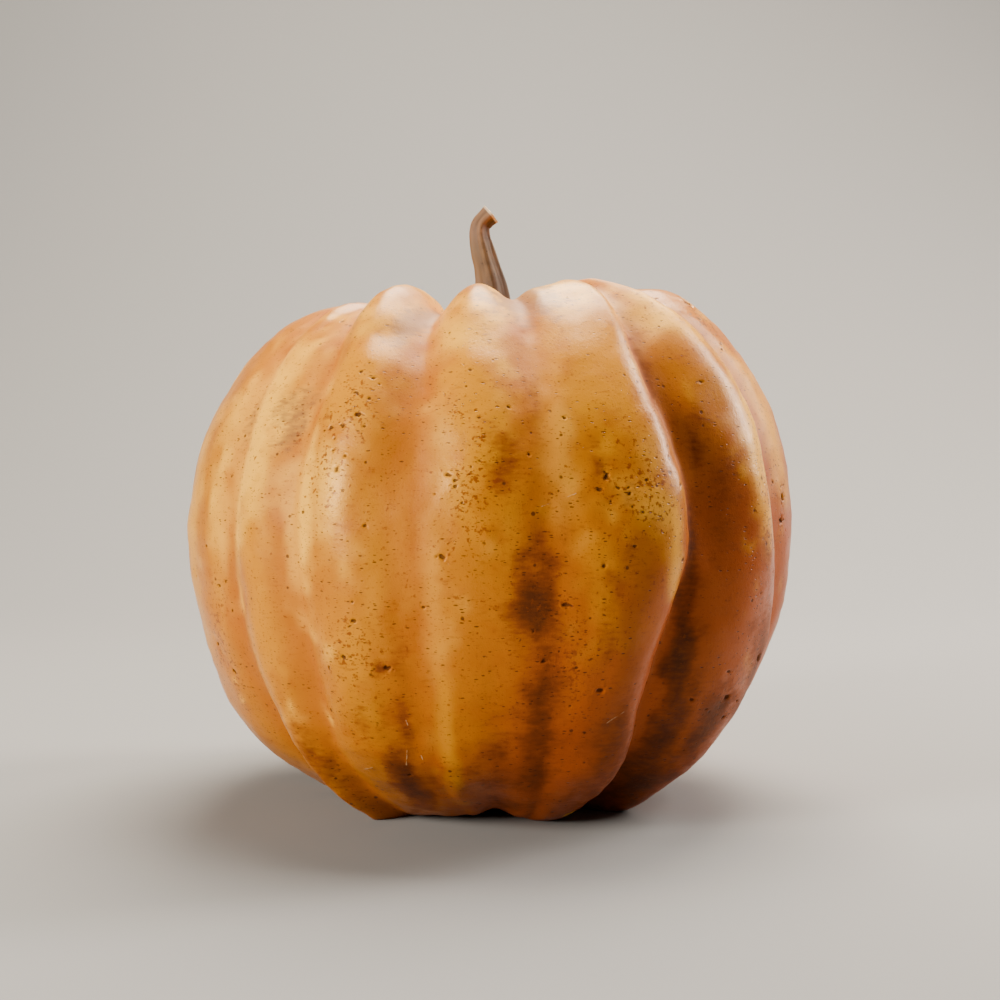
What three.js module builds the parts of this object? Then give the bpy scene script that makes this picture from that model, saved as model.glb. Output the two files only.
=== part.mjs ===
// A small ribbed pumpkin with a thin dry stem, as picked. Millimetres, +Z up.
// The origin lies on the surface that the pumpkin stands on, under the middle of the fruit.
// Azimuths are in degrees, 0 at the front (-Y) and growing towards the right (+X).

import * as THREE from "three";
import { ParametricGeometry } from "three/addons/geometries/ParametricGeometry.js";

// Driving dimensions of the fruit.
const FRUIT_RADIUS = 123; // the crests at the widest height, before the furrows are cut
const FRUIT_HEIGHT = 205; // the crests at the shoulder
const SEAT_RADIUS = 15.5; // the flat spot in the top hollow that the stem grows from
const SEAT_HEIGHT = 186;
const FADE_WIDTH = 19; // how far past the seat the ribs reach their full relief
const TOP_HOLLOW_RADIUS = 60; // inside it the furrows have their figures of the top
const FOOT_HOLLOW_RADIUS = 56; // inside it they have those of the foot
const SHOULDER_TILT = 0.045; // how much higher the right shoulder stands, for each mm of x
const SHOULDER_TILT_POWER = 1.5; // how the tilt grows with the height
const FURROW_ROUNDNESS = 0.35; // 0 leaves the bottom of a furrow as a sharp crease
const WAVER_LENGTH = 150; // one sideways sway of a furrow, along its height
const WAVER_SHIFT = 20; // how far the sway moves up from one furrow to the next
const DEGREE = Math.PI / 180;

// The outline through a rib's crest, as shares of the radius and the height, from the blossom scar
// round the outside and down into the top hollow. The seat's edge follows it.
const CREST_OUTLINE = [
  [0, 0.044], [0.146, 0.034], [0.293, -0.003], [0.43, -0.02], [0.602, 0.024], [0.82, 0.132],
  [0.952, 0.283], [1.005, 0.449], [1.002, 0.595], [0.946, 0.737], [0.832, 0.859], [0.667, 0.956],
  [0.496, 1], [0.35, 0.985], [0.22, 0.941],
].map(([radius, height]) => new THREE.Vector2(radius * FRUIT_RADIUS, height * FRUIT_HEIGHT));
CREST_OUTLINE.push(new THREE.Vector2(SEAT_RADIUS, SEAT_HEIGHT));

// Each furrow, and the rib to the right of it, in order round the fruit. at, turnTop and turnFoot are
// degrees, and so are the reaches of its two flanks; the depths and the rib's own swellings are mm.
// tuck draws the bottom of the furrow sideways, under the rib that overlaps it.
const FURROW_KEYS = [
  "at", "turnTop", "turnFoot", "depth", "depthTop", "depthFoot", "reachLeft", "reachRight",
  "tuck", "swell", "lift", "foot", "sway",
];
const FURROWS = [
  [-52.3, -14, 5, 4.5, 6, 8, 9, 4.5, 1.5, 1, -4, 6, 0.8],
  [-34.7, -10.5, 1, 5, 8, 1.5, 9.5, 4, 1.5, 2, 4.5, -1.5, 1.2],
  [-12.4, -5, 4, 3.4, 13, 6, 11, 7, 0, 0.5, 4, -5.5, 0.4],
  [10.6, -0.5, 4, 3.2, 6.5, 5, 10, 6, 0, 1, -2.5, -1.5, 0.4],
  [37.2, 2, 1, 9.5, 4, 17, 3.5, 12, -3, 2.5, 5, 5.5, 4.5],
  [70, -19, 0, 6, 11, 9, 4.5, 8, -2, 0, -1.5, -4, -3],
  [96, 0, 0, 6, 7, 8, 7, 7, 0, 0, -3, 0, 1],
  [121, 2, 0, 7, 7, 9, 6, 8, 0, 1, -3, 2.5, 1],
  [147, 0, 2, 5, 6, 8, 8, 5, 0, 0, -4, -1, 1],
  [173, -2, 0, 7, 7, 8, 7, 7, 0, 2, -5, 1, 1],
  [199, 0, -2, 6, 7, 9, 5, 9, 0, 0, -4, -2, 1],
  [225, 2, 0, 8, 8, 10, 5, 8, 0, 1, -2, 3, 1],
  [250, 0, 0, 5, 6, 7, 8, 6, 0, 0, -2, -1, 1],
  [275, 0, 0, 6, 7, 8, 8, 5, 0, 0, -2.5, -4.5, 1],
].map((row) => Object.fromEntries(FURROW_KEYS.map((key, n) => [key, row[n]])));
const RIB_COUNT = FURROWS.length;

// Broad swellings of the whole fruit: waves round it, waves up it, phase and height.
const SWELLINGS = [
  [3, 0.7, 0.4, 1],
  [7, 1.3, 2, 0.5],
  [11, -2.1, 4, 0.35],
];

// Soft dents: azimuth, distance from the axis, height, radius and depth.
const DENTS = [
  [-24, 92, 189, 9, 2.2],
  [36, 119, 139, 8, 1],
  [66, 67, 205, 9, 6],
  [90, 57, 205, 12, 8],
  [112, 117, 150, 14, 1.8],
  [191, 118, 70, 16, 2],
  [243, 123, 128, 12, 1.6],
  [277, 119, 70, 38, 3.2],
];

// Driving dimensions of the stem: stations up its middle, each with its radius. The last station is
// the middle of the slanting cut.
const STEM_GAP = 0.3; // between the stem's foot and the seat
const STEM_STATIONS = [
  [1.5, 0.5, 186, 10.4], [1.5, 0.5, 188.5, 9], [1.3, 0.3, 195, 7.4], [0.9, 0, 204, 6.2],
  [-0.6, -0.4, 212, 5.1], [-2.4, -0.6, 219, 4.6], [-3.6, -0.4, 225.3, 4],
  [-3.2, -0.1, 229.3, 3.7], [-1.2, 0.1, 231.8, 3.7], [1.1, 0.2, 233.8, 4],
];
const STEM_ANGLES = 5; // a pumpkin's stem is five-angled
const STEM_RIDGE = 0.1; // the height of an angle as a share of the radius
const STEM_ROOT_RIDGE = 0.16; // added to it where the stem spreads on the fruit
const STEM_ROOT_POWER = 6; // how fast that addition dies away up the stem
const STEM_TWIST = 70 * DEGREE; // from the foot to the cut

// Mesh steps. A rib's columns stand closer together at its furrows.
const RIB_COLUMNS = [0, 0.07, 0.19, 0.34, 0.5, 0.66, 0.81, 0.93];
const FRUIT_ROWS = 44; // the last one is the middle of the seat
const STEM_COLUMNS = 40;
const STEM_ROWS = 30;

const mix = (a, b, share) => a + (b - a) * share;
const unit = (value) => THREE.MathUtils.clamp(value, 0, 1);

// The outline as a curve, with its points spaced evenly along its length.
const crestCurve = new THREE.SplineCurve(CREST_OUTLINE);
crestCurve.arcLengthDivisions = 2000;

// What the furrows need to know about one height of the outline. up grows from the widest height to
// the shoulder, down from there to the foot, and fade is 0 at the two ends of the fruit's axis.
function outlineAt(along) {
  const share = crestCurve.getUtoTmapping(along);
  const point = crestCurve.getPoint(share);
  const tangent = crestCurve.getTangent(share);
  const height = unit(point.y / FRUIT_HEIGHT);
  const inTop = share > 0.5 && point.x < TOP_HOLLOW_RADIUS;
  const inFoot = share < 0.5 && point.x < FOOT_HOLLOW_RADIUS;
  const up = (inTop ? 1 : unit(2 * height - 1)) ** 2;
  const down = (inFoot ? 1 : unit(1 - 2 * height)) ** 2;
  const fade = THREE.MathUtils.smoothstep(point.x, SEAT_RADIUS, SEAT_RADIUS + FADE_WIDTH);
  return { point, normal: new THREE.Vector2(tangent.y, -tangent.x), height, up, down, fade };
}

function furrowAzimuth(index, line) {
  const furrow = FURROWS[index % RIB_COUNT];
  const phase = (line.point.y - WAVER_SHIFT * (index % RIB_COUNT)) / WAVER_LENGTH;
  const sway = furrow.sway * Math.sin(2 * Math.PI * phase) * (1 - line.up) * (1 - line.down);
  const lap = index < RIB_COUNT ? 0 : 360;
  const turn = furrow.turnTop * line.up ** 2 + furrow.turnFoot * line.down ** 2;
  return furrow.at + turn + sway + lap;
}

// A value that has one figure at the widest height, one at the shoulder and one at the foot.
function byHeight(line, middle, top, foot) {
  return middle * (1 - line.up) * (1 - line.down) + top * line.up + foot * line.down;
}

// 1 at the bottom of a furrow, falling to 0 up its two flanks.
function furrowShare(gap, furrow) {
  const reach = gap < 0 ? furrow.reachLeft : furrow.reachRight;
  const soft = FURROW_ROUNDNESS;
  return Math.exp(soft - Math.hypot(gap / reach, soft));
}

function wrapDegrees(angle) {
  return THREE.MathUtils.euclideanModulo(angle + 180, 360) - 180;
}

function dentDepth(azimuth, line) {
  return DENTS.reduce((total, [at, out, height, radius, depth]) => {
    const across = line.point.x * DEGREE * wrapDegrees(azimuth - at);
    const distance = Math.hypot(across, line.point.x - out, line.point.y - height) / radius;
    return total + depth * Math.exp(-distance * distance);
  }, 0);
}

function swellingHeight(azimuth, line) {
  return SWELLINGS.reduce((total, [around, upward, phase, height]) => {
    const angle = around * azimuth * DEGREE + upward * 2 * Math.PI * line.height + phase;
    return total + height * Math.sin(angle);
  }, 0);
}

// The point of the skin on one rib: across runs from 0 at its left furrow to 1 at its right one.
function skinPoint(rib, across, line, target) {
  const left = furrowAzimuth(rib, line);
  const azimuth = mix(left, furrowAzimuth(rib + 1, line), across);
  let depth = 0;
  let sideways = 0;
  FURROWS.forEach((furrow, index) => {
    const share = furrowShare(wrapDegrees(azimuth - furrowAzimuth(index, line)), furrow);
    depth += share * byHeight(line, furrow.depth, furrow.depthTop, furrow.depthFoot);
    sideways += share * furrow.tuck;
  });
  const { swell, lift, foot } = FURROWS[rib];
  depth -= Math.sin(Math.PI * across) ** 2 * byHeight(line, swell, lift, foot);
  depth += dentDepth(azimuth, line) - swellingHeight(azimuth, line);
  depth *= line.fade;
  sideways *= line.fade;

  const radius = line.point.x - line.normal.x * depth;
  const sine = Math.sin(azimuth * DEGREE);
  const cosine = Math.cos(azimuth * DEGREE);
  const x = radius * sine + sideways * cosine;
  const y = sideways * sine - radius * cosine;
  const tilt = SHOULDER_TILT * x * line.height ** SHOULDER_TILT_POWER * line.fade;
  const z = line.point.y - line.normal.y * depth + tilt;
  return target.set(x, y, Math.max(z, 0)); // the feet of the ribs are flat where they bear
}

function makeFruit() {
  const columns = RIB_COUNT * RIB_COLUMNS.length;
  const lines = Array.from({ length: FRUIT_ROWS }, (_, row) => outlineAt(row / (FRUIT_ROWS - 1)));
  return new ParametricGeometry(
    (u, v, target) => {
      const column = Math.round(u * columns) % columns;
      const rib = Math.floor(column / RIB_COLUMNS.length);
      const across = RIB_COLUMNS[column % RIB_COLUMNS.length];
      const line = lines[Math.round(v * FRUIT_ROWS)];
      return line ? skinPoint(rib, across, line, target) : target.set(0, 0, SEAT_HEIGHT);
    },
    columns,
    FRUIT_ROWS,
  );
}

const stemMiddle = new THREE.CatmullRomCurve3(
  STEM_STATIONS.map(([x, y, z]) => new THREE.Vector3(x, y, z)),
);
const stemRadius = new THREE.SplineCurve(
  STEM_STATIONS.map((station, n) => new THREE.Vector2(n, station[3])),
);

// The first row of the stem is the middle of its foot, and the last is the middle of its cut.
function stemPoint(u, v, target) {
  const row = Math.round(v * STEM_ROWS);
  const along = unit((row - 1) / (STEM_ROWS - 2));
  const middle = stemMiddle.getPoint(along);
  const forward = stemMiddle.getTangent(along);
  if (row > 0 && row < STEM_ROWS) {
    const right = new THREE.Vector3(0, 1, 0).cross(forward).normalize();
    const back = forward.clone().cross(right);
    const spread = (1 - along) ** STEM_ROOT_POWER;
    const ridge = STEM_RIDGE + STEM_ROOT_RIDGE * spread;
    const angle = 2 * Math.PI * u;
    const rise = 1 + ridge * Math.cos(STEM_ANGLES * angle + STEM_TWIST * along);
    const radius = stemRadius.getPoint(along).y * rise;
    middle.addScaledVector(right, radius * Math.cos(angle));
    middle.addScaledVector(back, radius * Math.sin(angle));
  }
  const lowest = SEAT_HEIGHT + STEM_GAP;
  return target.set(middle.x, middle.y, row < 2 ? lowest : Math.max(middle.z, lowest));
}

function makeStem() {
  return new ParametricGeometry(stemPoint, STEM_COLUMNS, STEM_ROWS);
}

const skinMaterial = new THREE.MeshStandardMaterial({
  color: 0xd98324,
  roughness: 0.45,
  metalness: 0,
});
const stemMaterial = new THREE.MeshStandardMaterial({
  color: 0x8a6338,
  roughness: 0.85,
  metalness: 0,
});

const fruit = new THREE.Mesh(makeFruit(), skinMaterial);
fruit.name = "fruit";
const stem = new THREE.Mesh(makeStem(), stemMaterial);
stem.name = "stem";

const pumpkin = new THREE.Group();
pumpkin.add(fruit, stem);
fruit.geometry.computeBoundingBox();
const middle = fruit.geometry.boundingBox.getCenter(new THREE.Vector3());
pumpkin.position.set(-middle.x, -middle.y, 0);

export default pumpkin;
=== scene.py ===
"""A ripe ribbed pumpkin with a thin dry stem, on a plain pale floor.

The skin and the stem are worked out in millimetres and scaled to metres at the end. Azimuths are in
degrees, 0 at the front (-Y) and growing towards the right (+X).
"""

import math
import random
from collections import namedtuple

import bmesh
import bpy
import numpy as np
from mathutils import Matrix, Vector


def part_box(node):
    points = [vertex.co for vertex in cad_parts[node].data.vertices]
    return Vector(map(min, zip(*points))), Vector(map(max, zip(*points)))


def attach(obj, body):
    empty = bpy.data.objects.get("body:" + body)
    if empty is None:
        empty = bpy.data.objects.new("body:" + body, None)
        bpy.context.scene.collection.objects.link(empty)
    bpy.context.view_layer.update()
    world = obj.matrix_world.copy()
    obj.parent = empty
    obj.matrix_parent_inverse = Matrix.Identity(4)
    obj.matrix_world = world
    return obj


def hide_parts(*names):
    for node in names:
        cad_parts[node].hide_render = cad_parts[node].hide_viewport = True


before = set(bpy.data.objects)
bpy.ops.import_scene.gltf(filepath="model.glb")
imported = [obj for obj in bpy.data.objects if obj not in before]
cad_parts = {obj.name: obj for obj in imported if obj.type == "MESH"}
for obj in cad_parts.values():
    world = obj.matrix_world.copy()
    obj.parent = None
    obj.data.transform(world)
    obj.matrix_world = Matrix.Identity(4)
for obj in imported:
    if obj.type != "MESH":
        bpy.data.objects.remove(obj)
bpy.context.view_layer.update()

bl_info = {
    "name": "Ribbed Pumpkin",
    "version": (1, 0, 0),
    "blender": (4, 5, 0),
    "location": "View3D > Sidebar > Pumpkin",
    "description": "Builds a ripe ribbed pumpkin with a pitted satin skin and a dry five-angled stem",
    "category": "Object",
}

MM = 0.001

# The outline through a rib's crest, as shares of the fruit's radius and height, from the blossom scar
# round the outside and down into the top hollow. The seat's edge follows it.
CREST_OUTLINE = (
    (0, 0.044), (0.146, 0.034), (0.293, -0.003), (0.43, -0.02), (0.602, 0.024), (0.82, 0.132),
    (0.952, 0.283), (1.005, 0.449), (1.002, 0.595), (0.946, 0.737), (0.832, 0.859), (0.667, 0.956),
    (0.496, 1), (0.35, 0.985), (0.22, 0.941),
)
FADE_WIDTH = 19  # how far past the seat the ribs reach their full relief
TOP_HOLLOW_RADIUS = 60  # inside it the furrows have their figures of the top
FOOT_HOLLOW_RADIUS = 56  # inside it they have those of the foot
SHOULDER_TILT = 0.045  # how much higher the right shoulder stands, for each mm to the right
SHOULDER_TILT_POWER = 1.5
FURROW_ROUNDNESS = 0.35  # 0 leaves the bottom of a furrow as a sharp crease
WAVER_LENGTH = 150  # one sideways sway of a furrow, along its height
WAVER_SHIFT = 20  # how far the sway moves up from one furrow to the next

# Each furrow, and the rib to the right of it. The turns and reaches are degrees; the depths and the
# rib's own swellings are mm. tuck draws the bottom of the furrow under the rib that overlaps it.
Furrow = namedtuple(
    "Furrow",
    "at turn_top turn_foot depth depth_top depth_foot reach_left reach_right tuck swell lift foot sway",
)
FURROWS = [
    Furrow(-52.3, -14, 5, 4.5, 6, 8, 9, 4.5, 1.5, 1, -4, 6, 0.8),
    Furrow(-34.7, -10.5, 1, 5, 8, 1.5, 9.5, 4, 1.5, 2, 4.5, -1.5, 1.2),
    Furrow(-12.4, -5, 4, 3.4, 13, 6, 11, 7, 0, 0.5, 4, -5.5, 0.4),
    Furrow(10.6, -0.5, 4, 3.2, 6.5, 5, 10, 6, 0, 1, -2.5, -1.5, 0.4),
    Furrow(37.2, 2, 1, 9.5, 4, 17, 3.5, 12, -3, 2.5, 5, 5.5, 4.5),
    Furrow(70, -19, 0, 6, 11, 9, 4.5, 8, -2, 0, -1.5, -4, -3),
    Furrow(96, 0, 0, 6, 7, 8, 7, 7, 0, 0, -3, 0, 1),
    Furrow(121, 2, 0, 7, 7, 9, 6, 8, 0, 1, -3, 2.5, 1),
    Furrow(147, 0, 2, 5, 6, 8, 8, 5, 0, 0, -4, -1, 1),
    Furrow(173, -2, 0, 7, 7, 8, 7, 7, 0, 2, -5, 1, 1),
    Furrow(199, 0, -2, 6, 7, 9, 5, 9, 0, 0, -4, -2, 1),
    Furrow(225, 2, 0, 8, 8, 10, 5, 8, 0, 1, -2, 3, 1),
    Furrow(250, 0, 0, 5, 6, 7, 8, 6, 0, 0, -2, -1, 1),
    Furrow(275, 0, 0, 6, 7, 8, 8, 5, 0, 0, -2.5, -4.5, 1),
]
FIRST_RIB = 10  # the mesh starts and ends in the furrow at the left of this rib, behind the fruit

# Broad swellings of the whole fruit: waves round it, waves up it, phase and height.
SWELLINGS = (
    (3, 0.7, 0.4, 1),
    (7, 1.3, 2, 0.5),
    (11, -2.1, 4, 0.35),
)

# Soft dents: azimuth, distance from the axis, height, radius and depth.
DENTS = (
    (-24, 92, 189, 9, 2.2),
    (36, 119, 139, 8, 1),
    (66, 67, 205, 9, 6),
    (90, 57, 205, 12, 8),
    (112, 117, 150, 14, 1.8),
    (191, 118, 70, 16, 2),
    (243, 123, 128, 12, 1.6),
    (277, 119, 70, 38, 3.2),
)

# Stations up the middle of the stem, each with its radius. The last one is the middle of the cut.
STEM_STATIONS = (
    (1.5, 0.5, 186, 10.4), (1.5, 0.5, 188.5, 9), (1.3, 0.3, 195, 7.4), (0.9, 0, 204, 6.2),
    (-0.6, -0.4, 212, 5.1), (-2.4, -0.6, 219, 4.6), (-3.6, -0.4, 225.3, 4),
    (-3.2, -0.1, 229.3, 3.7), (-1.2, 0.1, 231.8, 3.7), (1.1, 0.2, 233.8, 4),
)
STEM_ANGLES = 5
STEM_RIDGE = 0.1  # how far the angles stand out, as a share of the stem's radius
STEM_ROOT_RIDGE = 0.16  # how much further they do at the root
STEM_ROOT_POWER = 6  # the higher, the nearer to the root that ends
STEM_TWIST = math.radians(70)
STEM_FINE_RIDGES = (0.012, 0.008)  # the two finer sets of ridges between the angles
STEM_LENGTH = 48
FIBRE_STRETCH = 9  # how many times longer than wide the fibres are
FIBRE_LAYERS = ((1.1, 1), (0.6, 0.6))  # width of the fibres in mm, and their share of the height
FIBRE_SEED = 61
FOLD_HEIGHT = 0.1
FOLD_WIDTH = 2.4
FOLD_STRETCH = (0.35, 0.35, 3)  # makes the folds broader across the stem and shorter along it
FOLD_SEED = 63
# Painted shade on the stem: low down on its right side, and under the hook.
STEM_SHADE_TURN = math.radians(50)  # low down the stem is darkest this far round from its right
STEM_SHADE_LOW = (0.2, 0.75)  # painted shade below the first share of the length, and none above the second
STEM_SHADE_HOOK = (0.76, 0.9)  # and again under the hook, from here to here
PALE_RIM_START = 0.955  # the bark turns pale from here, as a share of the stem's length
PALE_RIM_FULL = 0.97  # and is as pale as the cut from here on
# The rings of the cut, from its edge inwards: share of the radius, and how far they stand past it in mm.
CUT_RINGS = ((0.96, 0.12), (0.88, 0.16), (0.74, 0.05), (0.55, -0.1), (0.34, -0.3), (0.16, -0.45))
CUT_UNEVENNESS = ((1.5, 0.6),)
CUT_SEED = 64
CUT_EDGE = 0.94  # inside this share of its radius the cut is fully pale

# Colour patches of the skin: azimuth, height, half width and half height in mm, and strength.
YELLOW_PATCHES = (
    (-26, 166, 9, 22, 1.3), (-43, 84, 9, 36, 0.8), (23, 170, 12, 22, 1.3), (-2, 160, 9, 26, 1.1),
    (-16, 108, 7, 22, 0.6), (19, 98, 7, 26, 0.6), (-23, 74, 10, 20, 0.7), (-58, 92, 6, 26, 0.8),
    (4, 120, 5, 20, 0.4), (50, 168, 8, 16, 0.6), (-18, 98, 6, 30, 0.7), (-8, 42, 4, 24, 1),
    (-14, 112, 5, 20, 0.8), (98, 120, 12, 40, 0.7), (134, 90, 10, 36, 0.8), (160, 150, 12, 24, 0.8),
    (186, 90, 10, 30, 0.7), (212, 150, 9, 26, 0.9), (238, 80, 10, 30, 0.7), (262, 140, 9, 30, 0.8),
    (290, 80, 9, 30, 0.8),
)
# Pale patches: partly the skin's pale bloom, partly painted highlight and sheen on the lit flanks and
# shoulders.
BLOOM_AND_HIGHLIGHT_PATCHES = (
    (-50, 158, 22, 30, 1), (-33, 118, 7, 28, 1.3), (-48, 134, 14, 34, 1.2), (-56, 112, 8, 20, 1),
    (-70, 120, 12, 40, 0.7), (33, 114, 5, 24, 0.7), (-27, 132, 10, 24, 0.8), (-5, 134, 10, 22, 0.5),
    (13, 136, 8, 20, 0.4), (29, 136, 9, 20, 0.6), (-5, 184, 16, 12, 0.8), (0, 193, 12, 9, 1),
    (22, 199, 12, 8, 1), (12, 150, 7, 40, 0.6), (-9, 100, 6, 44, 0.5), (30, 122, 12, 16, 0.7),
    (58, 146, 10, 36, 1.1), (45, 192, 22, 12, 0.9), (-26, 190, 18, 10, 0.7), (74, 150, 14, 30, 0.7),
    (118, 150, 14, 26, 0.8), (146, 110, 10, 40, 0.5), (200, 170, 20, 20, 0.7), (226, 120, 10, 36, 0.5),
    (252, 176, 22, 18, 0.8), (280, 130, 14, 30, 0.7),
)
# Brown stains; those along the deep furrow at the right and left of a furrow's foot at the front are
# painted shade.
STAIN_AND_SHADE_PATCHES = (
    (3, 137, 6, 13, 0.5), (8, 91, 9, 16, 1), (10, 55, 8, 34, 0.75), (9, 160, 3, 22, 0.4),
    (42, 143, 4, 10, 0.7), (47, 126, 6, 26, 0.4), (40, 104, 4, 24, 0.8), (39, 66, 5, 26, 1),
    (42, 34, 7, 20, 1), (46, 14, 10, 16, 1), (34, 160, 2.5, 26, 0.5), (38, 120, 2.5, 24, 0.4),
    (-15.5, 46, 3, 20, 0.5), (-18, 22, 6, 18, 0.9), (-23, 48, 4, 10, 0.4), (19, 138, 3, 6, 0.7),
    (26, 95, 8, 12, 0.3), (25, 34, 9, 18, 0.7), (62, 58, 11, 22, 0.75), (-40, 28, 6, 10, 0.6),
    (2, 30, 7, 18, 0.55), (10, 30, 7, 18, 0.7), (50, 38, 9, 20, 0.9), (58, 104, 4, 10, 0.5),
    (20, 78, 4, 14, 0.5), (97, 60, 6, 30, 0.8), (121, 110, 5, 24, 0.7), (149, 50, 7, 26, 0.8),
    (173, 120, 6, 24, 0.9), (199, 60, 7, 32, 0.8), (226, 100, 6, 26, 0.9), (250, 50, 6, 24, 0.7),
    (276, 104, 5, 26, 0.6),
)
SMUDGE_PATCHES = (
    (-43, 158, 6, 6, 0.8), (-39, 151, 4, 9, 0.9), (-20, 188, 6, 6, 1.2), (10, 197, 10, 8, 1.5),
    (-52, 152, 3, 10, 0.7), (64, 178, 5, 9, 0.7), (24, 128, 4, 8, 0.6), (110, 172, 8, 7, 0.8),
    (156, 176, 6, 8, 0.8), (206, 130, 5, 10, 0.7), (240, 170, 7, 7, 0.9), (270, 150, 4, 9, 0.7),
)

# Single pits: azimuth, height, half width, half height and depth.
PITS = (
    (76.4, 197, 1.9, 1.5, 2), (73.4, 121, 1.2, 1.5, 1), (73.1, 112.5, 1.5, 1.2, 1),
    (20, 133, 0.9, 1.5, 0.7), (72.9, 52.4, 1.5, 1.1, 0.8), (20.1, 59.4, 1.4, 0.8, 0.8),
    (12.8, 90.5, 1.2, 0.7, 0.7), (-17.2, 67, 1.2, 0.8, 0.8), (-7.5, 105.6, 1.3, 1, 0.6),
    (-22.2, 85, 0.8, 0.8, 0.5), (-20, 116.2, 0.7, 0.7, 0.5), (-23.2, 154.5, 1.2, 0.6, 0.6),
    (19.8, 102.6, 0.8, 0.7, 0.5), (62, 62, 1.2, 1.4, 0.8), (52, 50, 1.4, 1.1, 0.7),
    (120, 90, 1.4, 1, 0.8), (166, 130, 1.1, 1.4, 0.8), (214, 76, 1.5, 1, 0.9), (258, 112, 1.2, 1.2, 0.7),
)
# Clusters of fine pits and specks: azimuth, height, half width and half height, and how many pits.
PIT_CLUSTERS = (
    (-24, 156, 6, 10, 12), (-28, 138, 5, 14, 5), (-23, 74, 9, 9, 8), (27, 128, 11, 14, 12),
    (60, 112, 9, 30, 14), (54, 52, 12, 12, 8), (-3, 128, 6, 18, 7), (74, 189, 8, 8, 10),
    (73, 117, 3, 9, 6), (14, 70, 8, 20, 7), (110, 130, 12, 20, 7), (150, 90, 12, 20, 7),
    (185, 140, 12, 18, 7), (232, 110, 12, 20, 7), (268, 80, 10, 20, 6), (-60, 70, 8, 16, 5),
)
SCATTERED_PITS = 44
SCATTER_HEIGHTS = (22, 196)  # the lowest and the highest of them, in mm
SMALL_PIT = (0.35, 0.7)  # the smallest and largest half height of a pit that isn't a single one
PIT_WIDTH = (0.9, 1.7)  # its width as a share of its height
PIT_DEPTH = (0.45, 0.75)  # its depth as a share of its half height
PIT_WALL_POWER = 2.6  # the higher, the steeper the wall of a pit
PIT_RIM = (1.7, 0.45, 0.16)  # where its raised rim stands, how wide and how high, as shares of the pit
PIT_UNEVENNESS = ((1.6, 0.3),)  # length of the noise in mm, and its share
PIT_SPAN = 3  # each pit is worked out this many half widths round it
PIT_DARK_FALL = 0.8  # the higher, the smaller its dark middle
PIT_SEED = 31

# Thin healed scratches: azimuth and height of both ends.
SCRATCHES = (
    (9, 124, 15, 128), (22.5, 46, 25.5, 50), (-15, 48, -13.2, 32), (-17, 30, -16, 36),
    (-28, 26, -25, 28), (130, 100, 138, 104), (182, 60, 186, 66), (246, 130, 252, 127),
)
SCRATCH_WIDTH = 0.28
SCRATCH_HEIGHT = 0.1
SCRATCH_CORK = 0.8  # how corky a scratch is, where a scar is 1

# The marks made of patches, each with the seed of its wavering edges.
PATCHES = {
    "yellow": (YELLOW_PATCHES, 41),
    "peach": (BLOOM_AND_HIGHLIGHT_PATCHES, 43),
    "stain": (STAIN_AND_SHADE_PATCHES, 47),
    "smudge": (SMUDGE_PATCHES, 53),
    "speckled": ([(*cluster[:4], 1) for cluster in PIT_CLUSTERS], 59),
}
PATCH_WAVER = ((26, 0.25), (9, 0.2))
PATCH_FALL = 0.7  # the higher, the sooner a patch fades towards its edge
# The skin is a deeper orange to the right and towards the foot: partly its own tone, partly painted
# shade on the side away from the key light. The shares are of the radius and of the height, and the
# range says where their sum starts and ends the change.
DEEP_SIDE = 0.6
DEEP_HEIGHT = 0.8
DEEP_RANGE = (-0.65, 0.25)
SHEEN_COLOUR = (1, 0.6, 0.28, 1)  # of light that the waxy skin throws straight back

LUMP_LAYERS = ((24, 0.75), (8, 0.3))  # length of the soft lumps in mm, and their share of the height
LUMPS_FROM_AXIS = (12, 24)  # where the lumps start and are full, in mm
LUMPS_FROM_FLOOR = (0.2, 3)

# Relief in rings round the stem and round the blossom scar: radius, width and height in mm.
STEM_LIP = (14, 2.2, 0.7)
LIP_CORK = 5  # the lip's cork fades out this far past its radius
SCAR_RIM = (8, 1.6, 0.9)
SCAR_CORK = 3
SCAR_BUTTON = (0, 2.5, 0.6)
HOLLOW_WRINKLES = (26, 14, 1)
# Wrinkles that run out from the middle: how many go round, and their height as a share or in mm.
LIP_WRINKLES = ((17, 0.35), (29, 0.2))
SCAR_WRINKLES = (11, 0.3)
FINE_WRINKLES = ((44, 0.22), (71, 0.12))
WRINKLE_SWING = ((20, 0.25),)
WRINKLE_SEED = 77

OUTLINE_SAMPLES = 4001
# The coarse grid on the skin that finds the middle of the fruit: columns on each rib, and rows.
CENTRING_COLUMNS = 8
CENTRING_ROWS = 44
COLUMN_CROWDING = 0.45  # how much closer together the columns stand at the furrows
PIT_REACH = 2.2  # the mesh is refined this many pit radii round a pit
SCRATCH_REACH = 1.3  # and this many mm round a scratch
REFINED_CUTS = 5  # how often each edge is cut there
WELD_DISTANCE = 1e-4  # points of the skin nearer than this, in mm, become one

# The lights: place and size in metres, and colour. Their powers are settings of the stage.
LIGHTS = {
    "key_light": ((-1.13, -0.87, 0.55), (0.35, 0.6), (1, 0.94, 0.82)),
    "rim_light": ((1.05, 0.4, 0.75), (0.3, 0.9), (1, 0.89, 0.8)),
    "top_light": ((0.1, 0.3, 1.3), (0.8, 0.6), (1, 0.9, 0.76)),
    "back_light": ((0.2, 0.8, 1.15), (1.0, 0.4), (1, 0.86, 0.68)),
}
LIGHT_AIM = (0, 0, 0.1)
FLOOR_REACH = 8  # how far the floor goes to the front and to both sides, in metres
FLOOR_BEND_START = 0.55  # where it starts to sweep up behind
FLOOR_BEND_RADIUS = 0.7
FLOOR_BEND_STEPS = 24
SENSOR_WIDTH = 36


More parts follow.
